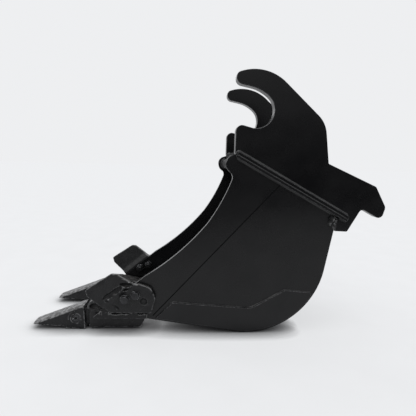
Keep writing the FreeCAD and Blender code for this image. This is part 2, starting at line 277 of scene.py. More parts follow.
DUST, CAST_DUST = (0.16, 0.15, 0.14), (0.17, 0.16, 0.15)
THIN_PAINT = (0.11, 0.11, 0.115)        # on the edges of plates
RUBBED_AND_GLINT_CASTING = (0.30, 0.30, 0.305)    # on the ridges of castings: rubbed paint, partly a painted highlight for their glints
TOP_HIGHLIGHT = (0.115, 0.115, 0.118)        # painted highlight, in patches on top of the tips
# Rubbed corners of steel: wear, and partly a painted highlight for their glints.
RUBBED_AND_GLINT_STEEL = (0.42, 0.42, 0.43)
# Painted shade in the creases and pockets of castings.
CREVICE_SHADE = (0.0010, 0.0010, 0.0011)
CAST_SHINE = 0.26


def shade(rest, blue):
    """A colour with the same red and green."""
    return rest, rest, blue


def brighter(colour, times):
    return tuple(c * times for c in colour)


def paint_finish(name, dark, light, rough, grain, wear, dust, shine):
    """Satin black paint: shade drifts, orange peel, scuffs, thin edges and a little dust."""
    paint = Paper(name)
    paint.speckle(shade(*dark), shade(*light), 7)
    scuffs = paint.band(paint.noise(30, 6, (1, 1, 5)), 0.62, 0.80, 0, 0.35)
    paint.layer(scuffs, brighter(shade(*light), 2.1))
    settled = paint.math("MULTIPLY", paint.facing_up(), paint.band(paint.noise(45, 8), 0.42, 0.72, 0, dust))
    paint.layer(settled, DUST)
    chips = paint.math("MULTIPLY", paint.worn(), paint.band(paint.noise(120, 6), 0.45, 0.62, 0.08, wear))
    paint.layer(chips, THIN_PAINT)
    paint.rough(paint.noise(12, 3), rough - 0.03, rough + 0.04)
    paint.bump(paint.noise(3.5, 2), 9 * MM, 0.35)           # slow waves of the plate
    paint.bump(paint.noise(420, 3), 0.4 * MM, grain)        # orange peel
    paint.bump(paint.noise(1500, 2), 0.12 * MM, grain)
    paint.shader.inputs["Specular IOR Level"].default_value = shine
    return paint.material


def cast_finish(name, dark, light, rough, wear, lit_tops):
    """Paint over a sand-cast skin: pits and pebbles under thinner, drier paint, and painted shade in its
    creases.

    With lit_tops, the faces that look up get a painted highlight in ragged patches.
    """
    paint = Paper(name)
    paint.speckle(shade(*dark), shade(*light), 22)
    rubbed = paint.band(paint.noise(70, 8), 0.60, 0.74, 0, 0.5)
    paint.layer(rubbed, brighter(shade(*light), 2.4))
    settled = paint.math("MULTIPLY", paint.facing_up(), paint.band(paint.noise(60, 8), 0.40, 0.70, 0, 0.22))
    paint.layer(settled, CAST_DUST)
    # Rubbed ridges, light enough to be partly a painted highlight for their glints.
    chips = paint.math("MULTIPLY", paint.worn(), paint.band(paint.noise(95, 7), 0.44, 0.58, 0.0, wear))
    paint.layer(chips, RUBBED_AND_GLINT_CASTING)
    if lit_tops:
        # Painted highlight in ragged patches on the faces that look up.
        ragged = paint.math("MULTIPLY", paint.facing_up(), paint.band(paint.noise(70, 7), 0.48, 0.60))
        paint.layer(ragged, TOP_HIGHLIGHT)
    # Painted shade: creases and pockets go dark and rough.
    hollow = paint.marked("cavity_shade")
    paint.layer(hollow, CREVICE_SHADE)
    grain = paint.band(paint.noise(90, 6), 0.35, 0.65, rough - 0.08, rough + 0.10)
    paint.link(paint.math("MAXIMUM", grain, hollow), paint.shader.inputs["Roughness"])
    paint.bump(paint.noise(60, 3), 3.5 * MM, 0.45)          # dents
    paint.bump(paint.noise(260, 4), 1.1 * MM, 0.55)         # pebbles
    paint.bump(paint.noise(900, 3), 0.4 * MM, 0.5)          # sand
    paint.shader.inputs["Specular IOR Level"].default_value = CAST_SHINE
    return paint.material


def steel_finish(name, dark, light, rough):
    """Black-oxide steel with rubbed corners, which are partly a painted highlight for their glints."""
    paint = Paper(name)
    paint.speckle(shade(*dark), shade(*light), 60)
    chips = paint.math("MULTIPLY", paint.worn(), paint.band(paint.noise(60, 5), 0.40, 0.60, 0.1, 0.9))
    paint.layer(chips, RUBBED_AND_GLINT_STEEL)
    paint.rough(paint.noise(220, 5), rough - 0.08, rough + 0.12)
    paint.bump(paint.noise(700, 4), 0.3 * MM, 0.4)
    paint.shader.inputs["Metallic"].default_value = 0.75
    return paint.material


def rubber_finish(name):
    paint = Paper(name)
    paint.speckle(shade(0.022, 0.022), shade(0.034, 0.034), 120)
    paint.rough(paint.noise(300, 4), 0.6, 0.8)
    paint.bump(paint.noise(900, 3), 0.2 * MM, 0.5)
    return paint.material


# Darkest and lightest shade, each as red and green, then blue; roughness, orange peel, how far the
# edges are rubbed, dust, and shine.
PAINTS = {
    "plate_paint": ((0.0030, 0.0034), (0.0050, 0.0054), 0.27, 0.26, 0.55, 0.06, 0.26),
    # Darker than the plate paint: painted shade on the hooks.
    "hook_paint": ((0.0016, 0.0020), (0.0030, 0.0034), 0.27, 0.24, 0.50, 0.06, 0.26),
    "wear_plate_paint": ((0.0036, 0.0040), (0.0060, 0.0065), 0.36, 0.40, 0.70, 0.06, 0.26),
    "lip_paint": ((0.0040, 0.0045), (0.0065, 0.0070), 0.36, 0.40, 0.70, 0.06, 0.26),
    # The welds' lighter shades are a painted highlight, for the light the beads catch.
    "weld_paint": ((0.0060, 0.0065), (0.0110, 0.0115), 0.25, 0.30, 0.0, 0.04, 0.33),
    "rough_weld": ((0.0120, 0.0125), (0.0220, 0.0225), 0.24, 0.30, 0.0, 0.04, 0.75),
    # Dark matte strip: painted shade along the fold's crease.
    "crease_shade_paint": ((0.0010, 0.0012), (0.0020, 0.0022), 0.45, 0.20, 0.0, 0.0, 0.06),
    "tube_paint": ((0.0034, 0.0038), (0.0056, 0.0061), 0.50, 0.40, 0.40, 0.10, 0.03),
}
# Darkest and lightest shade, roughness, how far the edges are rubbed (partly a painted highlight), and
# whether the tops get a painted highlight.
CASTINGS = {
    "cast_paint": ((0.0045, 0.0050), (0.0090, 0.0095), 0.33, 0.6, False),
    "tip_paint": ((0.0040, 0.0045), (0.0080, 0.0085), 0.31, 0.8, True),
    "cutter_paint": ((0.0045, 0.0050), (0.0085, 0.0090), 0.30, 0.5, False),
}
# Darkest and lightest shade, and roughness.
STEELS = {
    "bolt_steel": ((0.020, 0.021), (0.036, 0.038), 0.24),
    "pin_steel": ((0.020, 0.021), (0.038, 0.040), 0.36),
}
FINISHES = {name: paint_finish(name, *row) for name, row in PAINTS.items()}
FINISHES.update({name: cast_finish(name, *row) for name, row in CASTINGS.items()})
FINISHES.update({name: steel_finish(name, *row) for name, row in STEELS.items()})
FINISHES["retainer_rubber"] = rubber_finish("retainer_rubber")


# ---- reading the frame ----
def clean(node):
    """A CAD node's mesh as joined flat faces, in a new bmesh."""
    bm = bmesh.new()
    bm.from_mesh(frame["nodes"][node].data)
    bmesh.ops.remove_doubles(bm, verts=bm.verts, dist=0.01 * MM)
    bmesh.ops.dissolve_limit(bm, angle_limit=math.radians(0.4), verts=bm.verts, edges=bm.edges)
    bmesh.ops.recalc_face_normals(bm, faces=bm.faces)
    return bm


def tree_of(node):
    bm = bmesh.new()
    bm.from_mesh(frame["nodes"][node].data)
    tree = BVHTree.FromBMesh(bm)
    bm.free()
    return tree


def body_of(node):
    for body, members in frame["record"]["behaviour"]["bodies"].items():
        if node in members:
            return body
    raise ValueError(node)


def slot_of(node):
    for sub in frame["record"]["subparts"]:
        if sub["node"] == node:
            return sub["material_slot"]
    raise ValueError(node)


def show(name, bm, finish, body="bucket", replaced=None, smooth_deg=40):
    """Turns a bmesh into a piece of the object, with its finish, body and slot."""
    for face in bm.faces:
        face.smooth = True
    for edge in bm.edges:
        edge.smooth = edge.calc_face_angle(0) < math.radians(smooth_deg)
    mesh = bpy.data.meshes.new(name)
    bm.to_mesh(mesh)
    bm.free()
    mesh.materials.append(FINISHES[finish])
    piece = bpy.data.objects.new(name, mesh)
    bpy.context.scene.collection.objects.link(piece)
    even = piece.modifiers.new("even_normals", "WEIGHTED_NORMAL")
    even.keep_sharp = True
    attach(piece, body)
    if replaced:
        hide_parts(replaced)
    return piece


# ---- plates: bevelled copies of the CAD solids ----
def bevelled(node, width, segments=2, sharp_deg=25):
    bm = clean(node)
    wear = bm.faces.layers.float.new("edge_wear")
    sharp = [e for e in bm.edges if e.is_manifold and e.calc_face_angle(0) > math.radians(sharp_deg)]
    made = bmesh.ops.bevel(bm, geom=sharp, offset=width, offset_type="OFFSET", segments=segments,
                           profile=0.5, affect="EDGES", clamp_overlap=True)
    for face in made["faces"]:
        face[wear] = 1.0
    slot = slot_of(node)
    finish = "tube_paint" if node == "front_cross_tube" else slot
    show(node + "_finished", bm, finish, body_of(node), node, 50)


BEVELS = {
    "side_plate": 1.4, "hook_plate": 2.2, "side_wear_plate": 1.2, "lock_pin": 0.5, "pin_retainer": 0.6,
    "cutter_washers": 0.5,
}
SINGLE_BEVELS = {
    "shell_plate": 0.8, "lip_plate": 1.8, "heel_strip_left": 1.2, "heel_strip_middle": 1.2,
    "heel_strip_right": 1.2, "top_plate": 1.2, "hook_base_plate": 1.4, "front_cross_tube": 1.0,
}


def add_plates():
    for kind, width in BEVELS.items():
        for side, _ in SIDES:
            bevelled(kind + "_" + side, width * MM)
    for node, width in SINGLE_BEVELS.items():
        bevelled(node, width * MM)


# ---- weld beads ----
BEAD_STEP = 2.2 * MM         # between two stations along a bead
BEAD_POINTS = 8              # across its dome
# How unevenly a bead is laid: the share of its size, and the metres from one swell to the next.
WIDTH_SWELL, WIDTH_JITTER = (0.11, 0.034), (0.05, 0.009)
HEIGHT_SWELL = (0.45, 0.021)
DRIFT = (0.10, 0.05)
RIPPLE = 0.085               # height of its ripples, as a share of its half width
RIPPLE_BOW = 0.45            # how far they bow back at its toes, in ripples
OUTWARD = {"left": -Y, "right": Y}


def fillet(leg):
    """Section of a corner weld: half width, height of its toes, of its crown and of its root."""
    return 0.72 * leg * MM, 0.66 * leg * MM, 0.20 * leg * MM, -0.10 * leg * MM


def cap(width, height):
    """Section of a bead that lies on a flat face."""
    return width / 2 * MM, -0.4 * MM, (height + 0.4) * MM, -1.6 * MM


def stations(route, rounds=6):
    """Even steps along a route of (point, way the bead faces), with its corners rounded."""
    line = []
    for (here, facing), (there, _) in zip(route, route[1:]):
        count = max(1, round((there - here).length / BEAD_STEP))
        for k in range(count):
            line.append((here.lerp(there, k / count), facing))
    line.append(route[-1])
    for _ in range(rounds):
        middle = [((a[0] + 2 * b[0] + c[0]) / 4, (a[1] + 2 * b[1] + c[1]) / 4)
                  for a, b, c in zip(line, line[1:], line[2:])]
        line = line[:1] + middle + line[-1:]
    return line


def wobble(s, wavelength, seed):
    """Smooth noise along a bead, from about -1 to 1."""
    return 2 * noise.noise(Vector((s / wavelength, seed * 7.31, 0.5)))


def uneven(kind, rough, s, seed):
    share, length = kind
    return share * rough * wobble(s, length, seed)


def add_bead(bm, route, section, pitch=7.0, seed=0, rough=1.0):
    """A weld bead: a domed strip with bowed ripples, uneven in width and height, with tapered ends."""
    half, toe, crown, root = section
    line = stations(route)
    far = [0.0]
    for a, b in zip(line, line[1:]):
        far.append(far[-1] + (b[0] - a[0]).length)
    step = pitch * MM
    rings = []
    for i, (point, facing) in enumerate(line):
        s = far[i]
        along = (line[min(i + 1, len(line) - 1)][0] - line[max(i - 1, 0)][0]).normalized()
        up = (facing - along * facing.dot(along)).normalized()
        across = along.cross(up)
        end = min(1.0, math.sqrt((min(s, far[-1] - s) + 0.2 * MM) / (1.3 * half)))
        swell = 1 + uneven(WIDTH_SWELL, rough, s, seed) + uneven(WIDTH_JITTER, rough, s, seed + 3)
        width = half * end * swell
        tall = crown * (1 + uneven(HEIGHT_SWELL, rough, s, seed + 5))
        drift = half * uneven(DRIFT, rough, s, seed + 9)
        ring = []
        for k in range(BEAD_POINTS + 1):
            u = 2 * k / BEAD_POINTS - 1
            phase = s / step + RIPPLE_BOW * u * u + 0.25 * wobble(s, 0.03, seed + 1)
            wave = abs(math.sin(math.pi * phase))
            ripple = RIPPLE * half * rough * (wave - 0.5) * (1 - u ** 4)
            lift = (toe + tall * (1 - u * u) + ripple) * end
            ring.append(bm.verts.new(point + across * (u * width + drift) + up * lift))
        ring.append(bm.verts.new(point + up * root))
        rings.append(ring)
    count = BEAD_POINTS + 2
    for ring, after in zip(rings, rings[1:]):
        for k in range(count):
            m = (k + 1) % count
            bm.faces.new((ring[k], ring[m], after[m], after[k]))
    bm.faces.new(rings[0][::-1])
    bm.faces.new(rings[-1])


def weld(name, beads, pitch=7.0, rough=1.0, finish="weld_paint"):
    """One piece made of several beads, each a (route, section)."""
    bm = bmesh.new()
    for i, (route, section) in enumerate(beads):
        seed = sum(ord(c) for c in name) % 97 + 13 * i
        add_bead(bm, route, section, pitch, seed, rough)
    bmesh.ops.recalc_face_normals(bm, faces=bm.faces)
    return show("weld_" + name, bm, finish, smooth_deg=75)


def between(a, b):
    return (a + b).normalized()


def plate_ends(node):
    """Corners of a sloping plate's outline: front top, rear top, rear low, front low, at Y = 0."""
    points = [v.co.copy() for v in frame["nodes"][node].data.vertices]
    ends = (max(points, key=lambda p: p.z), max(points, key=lambda p: p.x),
            min(points, key=lambda p: p.z), min(points, key=lambda p: p.x))
    return [Vector((p.x, 0, p.z)) for p in ends]


BASE_ENDS = plate_ends("hook_base_plate")
TOP_ENDS = plate_ends("top_plate")
DOWN_SLOPE = (BASE_ENDS[1] - BASE_ENDS[0]).normalized()
OFF_SLOPE = Vector((-DOWN_SLOPE.z, 0, DOWN_SLOPE.x))
TREES = {node: tree_of(node) for node in (
    "side_plate_left", "side_plate_right", "shell_plate", "hook_plate_left", "hook_plate_right")}


def hit(node, start, way):
    """Where a ray first meets a node, or None."""
    return TREES[node].ray_cast(start, way)[0]


def under_top(x, y=0.0):
    """Point on the underside of the top plate."""
    front = TOP_ENDS[3]
    return front + DOWN_SLOPE * ((x - front.x) / DOWN_SLOPE.x) + Y * y


def at_y(point, y):
    return Vector((point.x, y, point.z))


def heading(degrees):
    """A way in the XZ plane, turned from +X towards +Z."""
    a = math.radians(degrees)
    return Vector((math.cos(a), 0, math.sin(a)))


LEG_DROP = 8 * MM            # how far the hook's leg reaches down the plates' front ends


def weld_hooks():
    """Round the foot of each hook plate: under the deck, over it, and round the leg at its front."""
    rear_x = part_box("side_plate_left")[1].x
    for side, sign in SIDES:
        low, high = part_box("hook_plate_" + side)
        outer, inner = (low.y, high.y) if sign < 0 else (high.y, low.y)
        out = OUTWARD[side]
        front = BASE_ENDS[0] - OFF_SLOPE * LEG_DROP
        over = [(BASE_ENDS[1], OFF_SLOPE), (BASE_ENDS[0], between(OFF_SLOPE, -DOWN_SLOPE))]
        route = [(at_y(p, outer), between(n, out)) for p, n in over]
        route.append((at_y(front, outer), between(-DOWN_SLOPE, out)))
        route.append((at_y(front, inner), between(-DOWN_SLOPE, -out)))
        route += [(at_y(p, inner), between(n, -out)) for p, n in over[::-1]]
        weld("hook_foot_" + side, [(route, fillet(9))])
        round_rear = [(under_top(rear_x), -OFF_SLOPE), (TOP_ENDS[2], DOWN_SLOPE),
                      (BASE_ENDS[1], DOWN_SLOPE)]
        ends = [([(at_y(p, y), between(n, way)) for p, n in round_rear], fillet(9))
                for y, way in ((outer, out), (inner, -out))]
        weld("hook_rear_" + side, ends, finish="hook_paint")
        blob = [(at_y(front + OFF_SLOPE * up * MM, outer), between(-DOWN_SLOPE, out)) for up in (-13, 9)]
        weld("hook_front_" + side, [(blob, cap(14, 7))], 5, 2.4, "rough_weld")


def side_face(side, x, z, inside=False):
    """Y of a side plate's outer or inner face at (x, z)."""
    out = OUTWARD[side]
    start = Vector((x, 0, z)) if inside else Vector((x, 0, z)) + out
    found = hit("side_plate_" + side, start, out if inside else -out)
    return found.y if found else None


DECK_STEPS = 12              # along a bead under the deck, which follows the bent side plate


def weld_sides_to_deck():
    """Side plates to the underside of the top plate, outside and inside, and the two plates' seam."""
    tube_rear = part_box("front_cross_tube")[1].x
    rear_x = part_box("side_plate_left")[1].x
    for side, sign in SIDES:
        out = OUTWARD[side]
        beads = []
        for inside, first, last, leg in ((False, TOP_ENDS[3].x + 3 * MM, rear_x - 6 * MM, 10),
                                         (True, tube_rear, rear_x - 30 * MM, 8)):
            route = []
            for k in range(DECK_STEPS + 1):
                x = first + (last - first) * k / DECK_STEPS
                p = under_top(x)
                y = side_face(side, x, p.z - 4 * MM, inside)
                if y is not None:
                    route.append((at_y(p, y), between(-OFF_SLOPE, -out if inside else out)))
            beads.append((route, fillet(leg)))
        weld("side_to_deck_" + side, beads)
        low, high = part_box("hook_base_plate")
        edge = low.y if sign < 0 else high.y
        seam = [(at_y(BASE_ENDS[3] + DOWN_SLOPE * 4 * MM, edge), between(OFF_SLOPE, out)),
                (at_y(BASE_ENDS[2] - DOWN_SLOPE * 4 * MM, edge), between(OFF_SLOPE, out))]
        weld("deck_seam_" + side, [(seam, fillet(3.4))], pitch=5, rough=0.7)


def weld_tube():
    """Front cross tube: its ends, its line under the top plate, and the rims of the side plates' noses."""
    low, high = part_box("front_cross_tube")
    centre = (low + high) / 2
    radius = (high.x - low.x) / 2
    beads = []
    for end, inward in ((low.y, Y), (high.y, -Y)):
        ring = []
        for degrees in range(100, 461, 10):
            way = heading(degrees)
            ring.append((at_y(centre + way * radius, end), between(way, inward)))
        beads.append((ring, fillet(7)))
    top = centre + OFF_SLOPE * radius
    for way in (-DOWN_SLOPE, DOWN_SLOPE):
        place = top + way * 9 * MM - OFF_SLOPE * 1.0 * MM
        facing = between(way, -OFF_SLOPE * 0.7)
        line = [(at_y(place, y), facing) for y in (low.y + 4 * MM, high.y - 4 * MM)]
        beads.append((line, fillet(8)))
    weld("cross_tube", beads)
    for side, _ in SIDES:
        face = side_face(side, centre.x, centre.z)
        inner = side_face(side, centre.x, centre.z, True)
        y = (face + inner) / 2
        rim = []
        for degrees in range(246, 110, -8):
            way = heading(degrees)
            edge = hit("side_plate_" + side, at_y(centre + way * 0.2, y), -way)
            if edge:
                rim.append((edge, way))
        weld("nose_rim_" + side, [(rim, cap(10, 2.5))], pitch=8)
    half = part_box("hook_base_plate")[1].y - 2 * MM
    ends = []
    for corner, up in ((TOP_ENDS[3], TOP_ENDS[0]), (BASE_ENDS[3], BASE_ENDS[0])):
        middle = (corner + up) / 2
        ends.append(([(at_y(middle, -half), -DOWN_SLOPE), (at_y(middle, half), -DOWN_SLOPE)], cap(12, 3.5)))
    weld("deck_front", ends, pitch=6, rough=1.4, finish="tube_paint")


# Headings from the bowl's middle, in degrees: from the lip round the belly to the top of the back wall,
# and from one end of the heel strips to the other.
SHELL_ARC, STRIP_ARC = (205, 378), (206, 318)


def contour(y, arc, count, outside):
    """Points of the shell's inner or outer face along an arc, seen from the bowl's middle."""
    first, last = arc
    bowl = next(o for o in frame["record"]["physics"]["openings"] if o["name"] == "bowl_heel")
    (x0, _, z0), (x1, _, z1) = bowl["box_m"]
    middle = Vector(((x0 + x1) / 2, y, (z0 + z1) / 2))
    found = []
    for k in range(count):
        way = heading(first + (last - first) * k / (count - 1))
        point = hit("shell_plate", middle, way)
        if point and outside:
            point = hit("shell_plate", point + way * 0.5 * MM, way)
        if point:
            found.append((point.copy(), way if outside else -way))
    return found


BACK_WALL = (0.47, 0.44)               # x and z of a place on the side plates near the back wall
IN_BOWL, BEHIND = 0.3, 1.0             # x of a place inside the bowl, and of one behind the back wall


def weld_shell():
    """Shell to side plates all the way round, inside and outside, and to the top plate."""
    for side, _ in SIDES:
        out = OUTWARD[side]
        beads = []
        for outside, leg in ((True, 7), (False, 8)):
            route = []
            for point, facing in contour(0, SHELL_ARC, 60, outside):
                y = side_face(side, point.x, point.z, True)
                if y is not None:
                    route.append((at_y(point, y), between(facing, -out)))
            beads.append((route, fillet(leg)))
        weld("shell_to_side_" + side, beads)
    near_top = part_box("shell_plate")[1].z - 12 * MM
    reach = side_face("right", *BACK_WALL, True) - 6 * MM
    back = []
    for start, way, leg in ((BEHIND, X, 9), (IN_BOWL, -X, 8)):
        point = hit("shell_plate", Vector((start, 0, near_top)), -way)
        if point:
            p = under_top(point.x)
            facing = between(way, -OFF_SLOPE)
            back.append(([(at_y(p, -reach), facing), (at_y(p, reach), facing)], fillet(leg)))
    weld("shell_to_deck", back)


TAIL_RUNS = (-22, -11, 0)    # mm from the front edge of the hook plate's tail, for each upright run


def weld_hook_tails():
    """The rear of each hook plate to the side plate and the shell, with a heavy lumpy run outside."""
    for side, sign in SIDES:
        out = OUTWARD[side]
        low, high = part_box("hook_plate_" + side)
        inner = high.y if sign < 0 else low.y
        foot = low.z
        outside, inside = [], []
        for k in range(6):
            z = foot + 2 * MM + k * 10 * MM
            probe = hit("hook_plate_" + side, Vector((0, inner + out.y * 6 * MM, z)), X)
            if probe is None:
                continue
            y = side_face(side, probe.x - 6 * MM, z)
            if y is not None:
                outside.append((Vector((probe.x, y, z)), between(-X, out)))
            inside.append((Vector((probe.x - 3 * MM, inner, z)), between(X, -out)))
        beads = [(outside, fillet(12)), (inside, fillet(10))]
        edge = outside[0][0].x
        for step in TAIL_RUNS:
            top = Vector((edge + (step + 11) * MM, 0, foot + 72 * MM))
            low_end = Vector((edge + step * MM, 0, foot + 20 * MM))
            face = side_face(side, low_end.x, low_end.z) or outside[0][0].y
            beads.append(([(at_y(top, face), out), (at_y(low_end, face), out)], cap(18, 13)))
        weld("hook_tail_" + side, beads, rough=2.4, finish="rough_weld")


STITCH = 7                   # points of the contour in a stitch; they start twice that far apart


def weld_strips():
    """Stitches along both sides of each heel strip."""
    for label in ("left", "middle", "right"):
        low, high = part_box("heel_strip_" + label)
        beads = []
        for edge, way in ((low.y, -Y), (high.y, Y)):
            line = contour((low.y + high.y) / 2, STRIP_ARC, 90, True)
            for start in range(4, len(line) - 8, 2 * STITCH):
                part = line[start:start + STITCH]
                beads.append(([(at_y(p, edge), between(n, way)) for p, n in part], fillet(6)))
        weld("heel_strip_" + label, beads)


def weld_wear_plates():
    """Round each side wear plate, but for its front edge in the fold."""
    finish = "wear_plate_paint"
    for side, _ in SIDES:
        node = "side_wear_plate_" + side
        out = OUTWARD[side]
        bm = clean(node)
        face = max((f for f in bm.faces if f.normal.y * out.y < -0.5), key=lambda f: f.calc_area())
        middle = face.calc_center_median()
        normal = -face.normal
        loop = [v.co.copy() for v in face.verts]
        bm.free()

        def outward(k):
            here, after = loop[k], loop[(k + 1) % len(loop)]
            way = (after - here).cross(normal).normalized()
            return way if way.dot((here + after) / 2 - middle) > 0 else -way

        front = min(range(len(loop)), key=lambda k: outward(k).x - abs(outward(k).z) * 0.2)
        order = [(front + 1 + k) % len(loop) for k in range(len(loop))]
        route = [(loop[k], between(outward(k), normal)) for k in order]
        weld("side_wear_plate_" + side, [(route, fillet(4.5))], 6, 1.8, finish)


def weld_lip():
    """Lip plate to the side plates, in front, inside and behind, and to the shell."""
    low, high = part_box("lip_plate")
    for side, sign in SIDES:
        out = OUTWARD[side]
        edge = low.y if sign < 0 else high.y
        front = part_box("side_plate_" + side)[0].x
        inner = side_face(side, low.x + 60 * MM, high.z + 8 * MM, True)
        top = high.z - 3 * MM
        rear = edge - out.y * 1 * MM
        corner = between(Z, -out)
        beads = [
            ([(Vector((x, edge, top)), out) for x in (front - 2 * MM, high.x)], cap(17, 9)),
            ([(Vector((x, inner, high.z)), corner) for x in (front, high.x)], fillet(8)),
            ([(Vector((high.x, rear, z)), out) for z in (low.z, high.z)], cap(10, 3.5)),
        ]
        weld("lip_to_side_" + side, beads, pitch=13, rough=2.6, finish="rough_weld")
    reach = side_face("right", high.x, high.z + 20 * MM, True) - 5 * MM
    seams = [([(Vector((high.x, -reach, high.z)), Z), (Vector((high.x, reach, high.z)), Z)], cap(13, 3)),
             ([(Vector((high.x, -reach, low.z)), -Z), (Vector((high.x, reach, low.z)), -Z)], cap(13, 2))]
    weld("lip_to_shell", seams)


UPPER_LEG_END = -0.284                 # x of the rear end of an adapter's upper leg


def weld_adapters():
    """Round the legs of each tooth adapter, above and below the lip."""
    lip_low, lip_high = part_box("lip_plate")
    for side, _ in SIDES:
        low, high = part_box("tooth_adapter_" + side)
        beads = []
        for height, facing, front, rear in ((lip_high.z, Z, lip_low.x + 24 * MM, UPPER_LEG_END),
                                            (lip_low.z, -Z, lip_low.x + 2 * MM, high.x)):
            route = [
                (Vector((front, low.y, height)), between(facing, -Y)),
                (Vector((rear, low.y, height)), between(facing, X)),
                (Vector((rear, high.y, height)), between(facing, Y)),
                (Vector((front, high.y, height)), between(facing, Y)),
            ]
            beads.append((route, fillet(9)))
        weld("tooth_adapter_" + side, beads, rough=1.3)


FOLD_ENDS = ((-0.218, 0.0737), (0.280, 0.6185))     # x and z of its foot and of its head


def weld_folds():
    """The soft crease that the press left along each side plate's fold: a low ridge in dark matte paint,
    which paints its shade.
    """
    for side, sign in SIDES:
        out = OUTWARD[side]
        low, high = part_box("side_plate_" + side)
        edge = (low.y if sign < 0 else high.y) - out.y * 0.2 * MM
        route = [(Vector((x, edge, z)), out) for x, z in FOLD_ENDS]
        # Dark matte paint on the ridge: painted shade along the crease.
        weld("fold_" + side, [(route, cap(7, 0.5))], rough=0.15, finish="crease_shade_paint")


# ---- cast parts: the CAD solid with marks and pockets, remeshed to a sand-cast skin ----
VOXEL = 2.4 * MM
BAR_POINTS = 10                         # round the section of a ring
BAR_STEP = 9                            # degrees from one section to the next


def add_ring(bm, centre, wide, tall, thick, first=0, sweep=360):
    """A round bar bent to an ellipse, or to a part of one, in an XZ plane."""
    count = max(8, round(sweep / BAR_STEP))
    whole = sweep == 360
    rings = []
    for k in range(count if whole else count + 1):
        a = math.radians(first + sweep * k / count)
        way = Vector((wide * math.cos(a), 0, tall * math.sin(a)))
        out = Vector((math.cos(a) / wide, 0, math.sin(a) / tall)).normalized()
        ring = []
        for m in range(BAR_POINTS):
            b = 2 * math.pi * m / BAR_POINTS
            off = way + out * thick * math.cos(b) + Y * thick * math.sin(b)
            ring.append(bm.verts.new(centre + off))
        rings.append(ring)
    for ring, after in zip(rings, rings[1:] + rings[:1] if whole else rings[1:]):
        for m in range(BAR_POINTS):
            n = (m + 1) % BAR_POINTS
            bm.faces.new((ring[m], ring[n], after[n], after[m]))
    if not whole:
        bm.faces.new(rings[0][::-1])
        bm.faces.new(rings[-1])


def add_lens(bm, centre, turn, half):
    """An ellipsoid with its three half sizes."""
    shape = Matrix.Translation(centre) @ turn @ Matrix.Diagonal((*half, 1))
    bmesh.ops.create_icosphere(bm, subdivisions=4, radius=1.0, matrix=shape)


def tilted(degrees):
    return Matrix.Rotation(math.radians(degrees), 4, "Y")


def add_groove(bm, points, half):
    """A row of lenses along a line of points, which cuts a groove."""
    for a, b in zip(points, points[1:]):
        turn = X.rotation_difference(b - a).to_matrix().to_4x4()
        add_lens(bm, (a + b) / 2, turn, ((b - a).length / 2 + half, half, half))


def scratch_object(bm):
    mesh = bpy.data.meshes.new("scratch")
    bm.to_mesh(mesh)
    bm.free()
    made = bpy.data.objects.new("scratch", mesh)
    bpy.context.scene.collection.objects.link(made)
    return made


def remeshed(bm, pockets):
    """The union of a bmesh's solids, less the pockets, as an even mesh."""
    body = scratch_object(bm)
    first = body.modifiers.new("join", "REMESH")
    first.mode = "VOXEL"
    first.voxel_size = VOXEL
    tool = scratch_object(pockets)
    if len(tool.data.polygons):
        merged = tool.modifiers.new("merge", "REMESH")
        merged.mode = "VOXEL"
        merged.voxel_size = VOXEL / 2
        cut = body.modifiers.new("cut", "BOOLEAN")
        cut.operation = "DIFFERENCE"
        cut.solver = "EXACT"
        cut.object = tool
        again = body.modifiers.new("even", "REMESH")
        again.mode = "VOXEL"
        again.voxel_size = VOXEL
    bpy.context.view_layer.update()
    mesh = bpy.data.meshes.new_from_object(body.evaluated_get(bpy.context.evaluated_depsgraph_get()))
    made = bmesh.new()
    made.from_mesh(mesh)
    for thing in (body, tool):
        old = thing.data
        bpy.data.objects.remove(thing)
        bpy.data.meshes.remove(old)
    bpy.data.meshes.remove(mesh)
    return made


WEAR_GAIN, WEAR_FROM = 8, 0.35          # how far an edge sticks out before its paint wears and lightens, partly as a painted highlight
CAVITY_GAIN, CAVITY_FROM = 11, 0.2      # how deep a crease is before it gets painted shade


def cast_skin(bm, seed, still):
    """Rounds the edges, adds dents and a parting line, and marks the worn edges and the creases that get
    painted shade.
    """
    for _ in range(3):
        bmesh.ops.smooth_vert(bm, verts=bm.verts, factor=0.5,
                              use_axis_x=True, use_axis_y=True, use_axis_z=True)
    bm.normal_update()
    wear = bm.verts.layers.float.new("edge_wear")
    cavity_shade = bm.verts.layers.float.new("cavity_shade")
    middle = sum(v.co.y for v in bm.verts) / len(bm.verts)
    for v in bm.verts:
        slopes = [(v.co - e.other_vert(v).co).normalized().dot(v.normal) for e in v.link_edges]
        bend = sum(slopes) / len(slopes)
        v[wear] = min(1.0, max(0.0, bend * WEAR_GAIN - WEAR_FROM))
        v[cavity_shade] = min(1.0, max(0.0, -bend * CAVITY_GAIN - CAVITY_FROM))
    lowest = min(v.co.z for v in bm.verts) + 0.4 * MM
    moves = []
    for v in bm.verts:
        place = v.co + Vector((seed, 0, 0))
        push = 0.45 * noise.noise(place * 45) + 0.22 * noise.noise(place * 140) - 0.35
        if abs(v.co.y - middle) < 1.6 * MM and v.normal.z > 0.2:
            push += 1.0
        if still(v.co) or v.co.z < lowest:
            push = 0.0
        moves.append((v, v.normal * push * MM))
    for v, move in moves:
        v.co += move


def cast(node, marks, pockets, seed, still=lambda p: False, shave=None):
    """Replaces a node by its casting: shaved, marked and hollowed by the given functions."""
    bm = clean(node)
    if shave:
        shave(bm)
    marks(bm)
    hollow = bmesh.new()
    pockets(hollow)
    made = remeshed(bm, hollow)
    cast_skin(made, seed, still)
    low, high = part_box(node)
    for v in made.verts:
        v.co = [min(max(v.co[i], low[i]), high[i]) for i in range(3)]
    slot = slot_of(node)
    show(node + "_finished", made, slot, body_of(node), node, 180)


